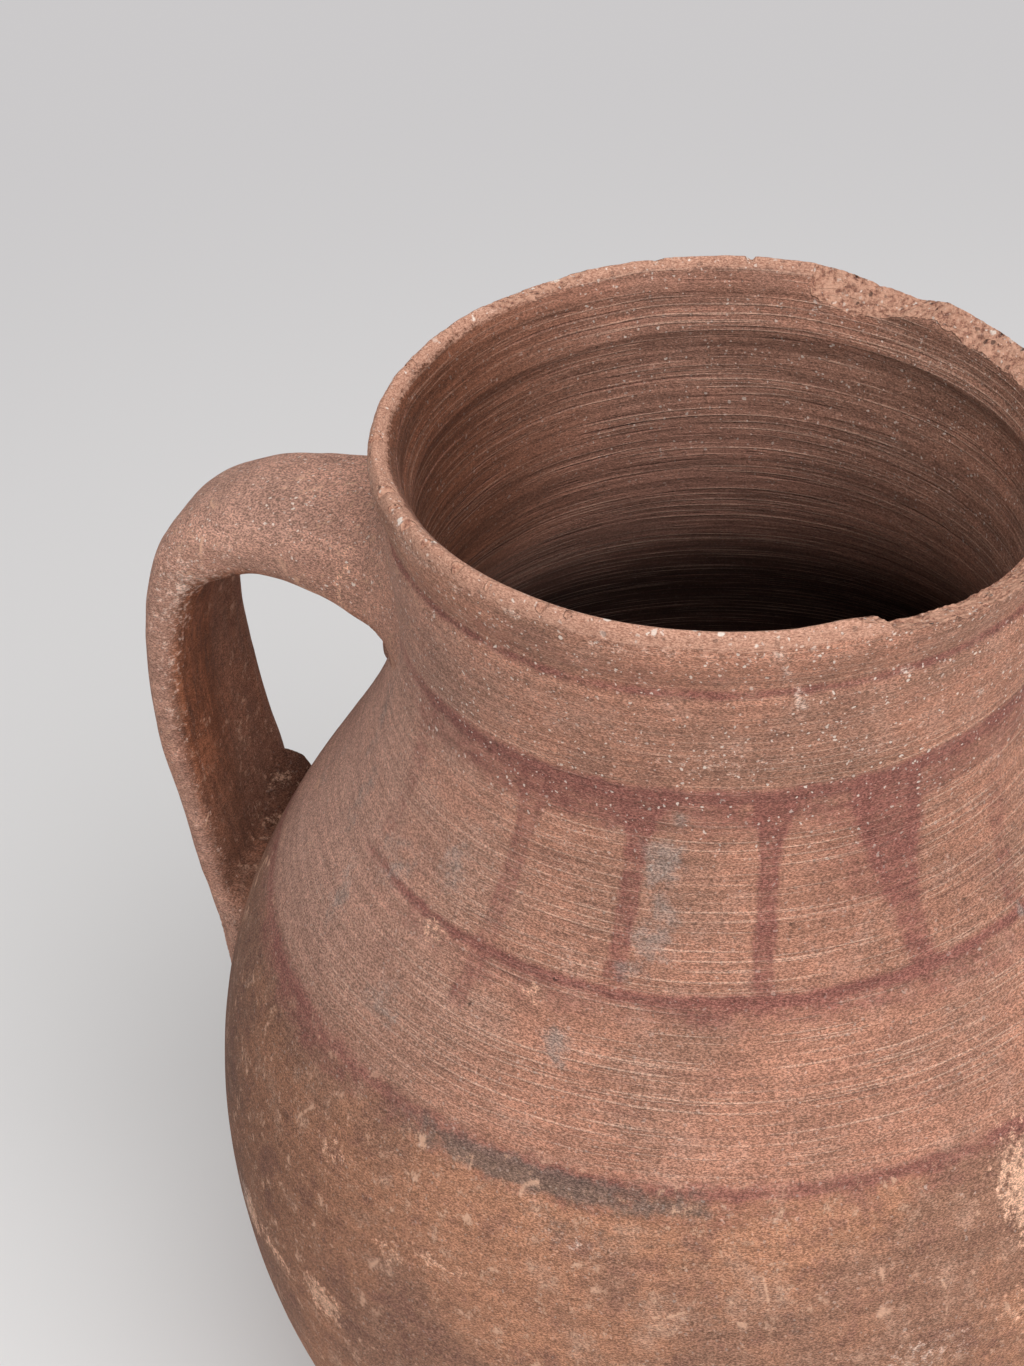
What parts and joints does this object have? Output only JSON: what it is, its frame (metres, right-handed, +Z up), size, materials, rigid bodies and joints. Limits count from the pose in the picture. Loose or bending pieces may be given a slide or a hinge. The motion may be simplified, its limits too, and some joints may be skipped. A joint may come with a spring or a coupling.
{
  "type": "earthenware water jug",
  "caption": "Wide-bellied earthenware water jug with a short neck, a thick rounded and worn lip, and a broad strap handle for lifting and pouring.",
  "frame": {"origin": "middle of the flat base, on the jug's axis", "axes": "+Z up along the jug's axis from base to mouth, the handle over -X, +Y to the left of the handle as seen from the handle's side facing the jug's axis"},
  "size_m": [0.3262, 0.3086, 0.4],
  "materials": {
    "scraped_clay": "matte unglazed terracotta, scraped and scuffed, with a worn dark slip band at its head",
    "turned_clay": "matte unglazed terracotta with fine turning lines and worn red-brown slip bands and strokes",
    "worn_lip_clay": "pale worn terracotta with flakes, nicks and a granular orange break",
    "handle_clay": "matte gritty terracotta with wipe marks and rubbed edges"
  },
  "bodies": {
    "root": {"base_disc": "scraped_clay", "lower_body": "scraped_clay", "shoulder": "turned_clay", "neck": "turned_clay", "rim_collar": "worn_lip_clay", "strap_handle": "handle_clay", "upper_root_wad": "handle_clay", "lower_root_wad": "handle_clay"}
  },
  "joints": []
}
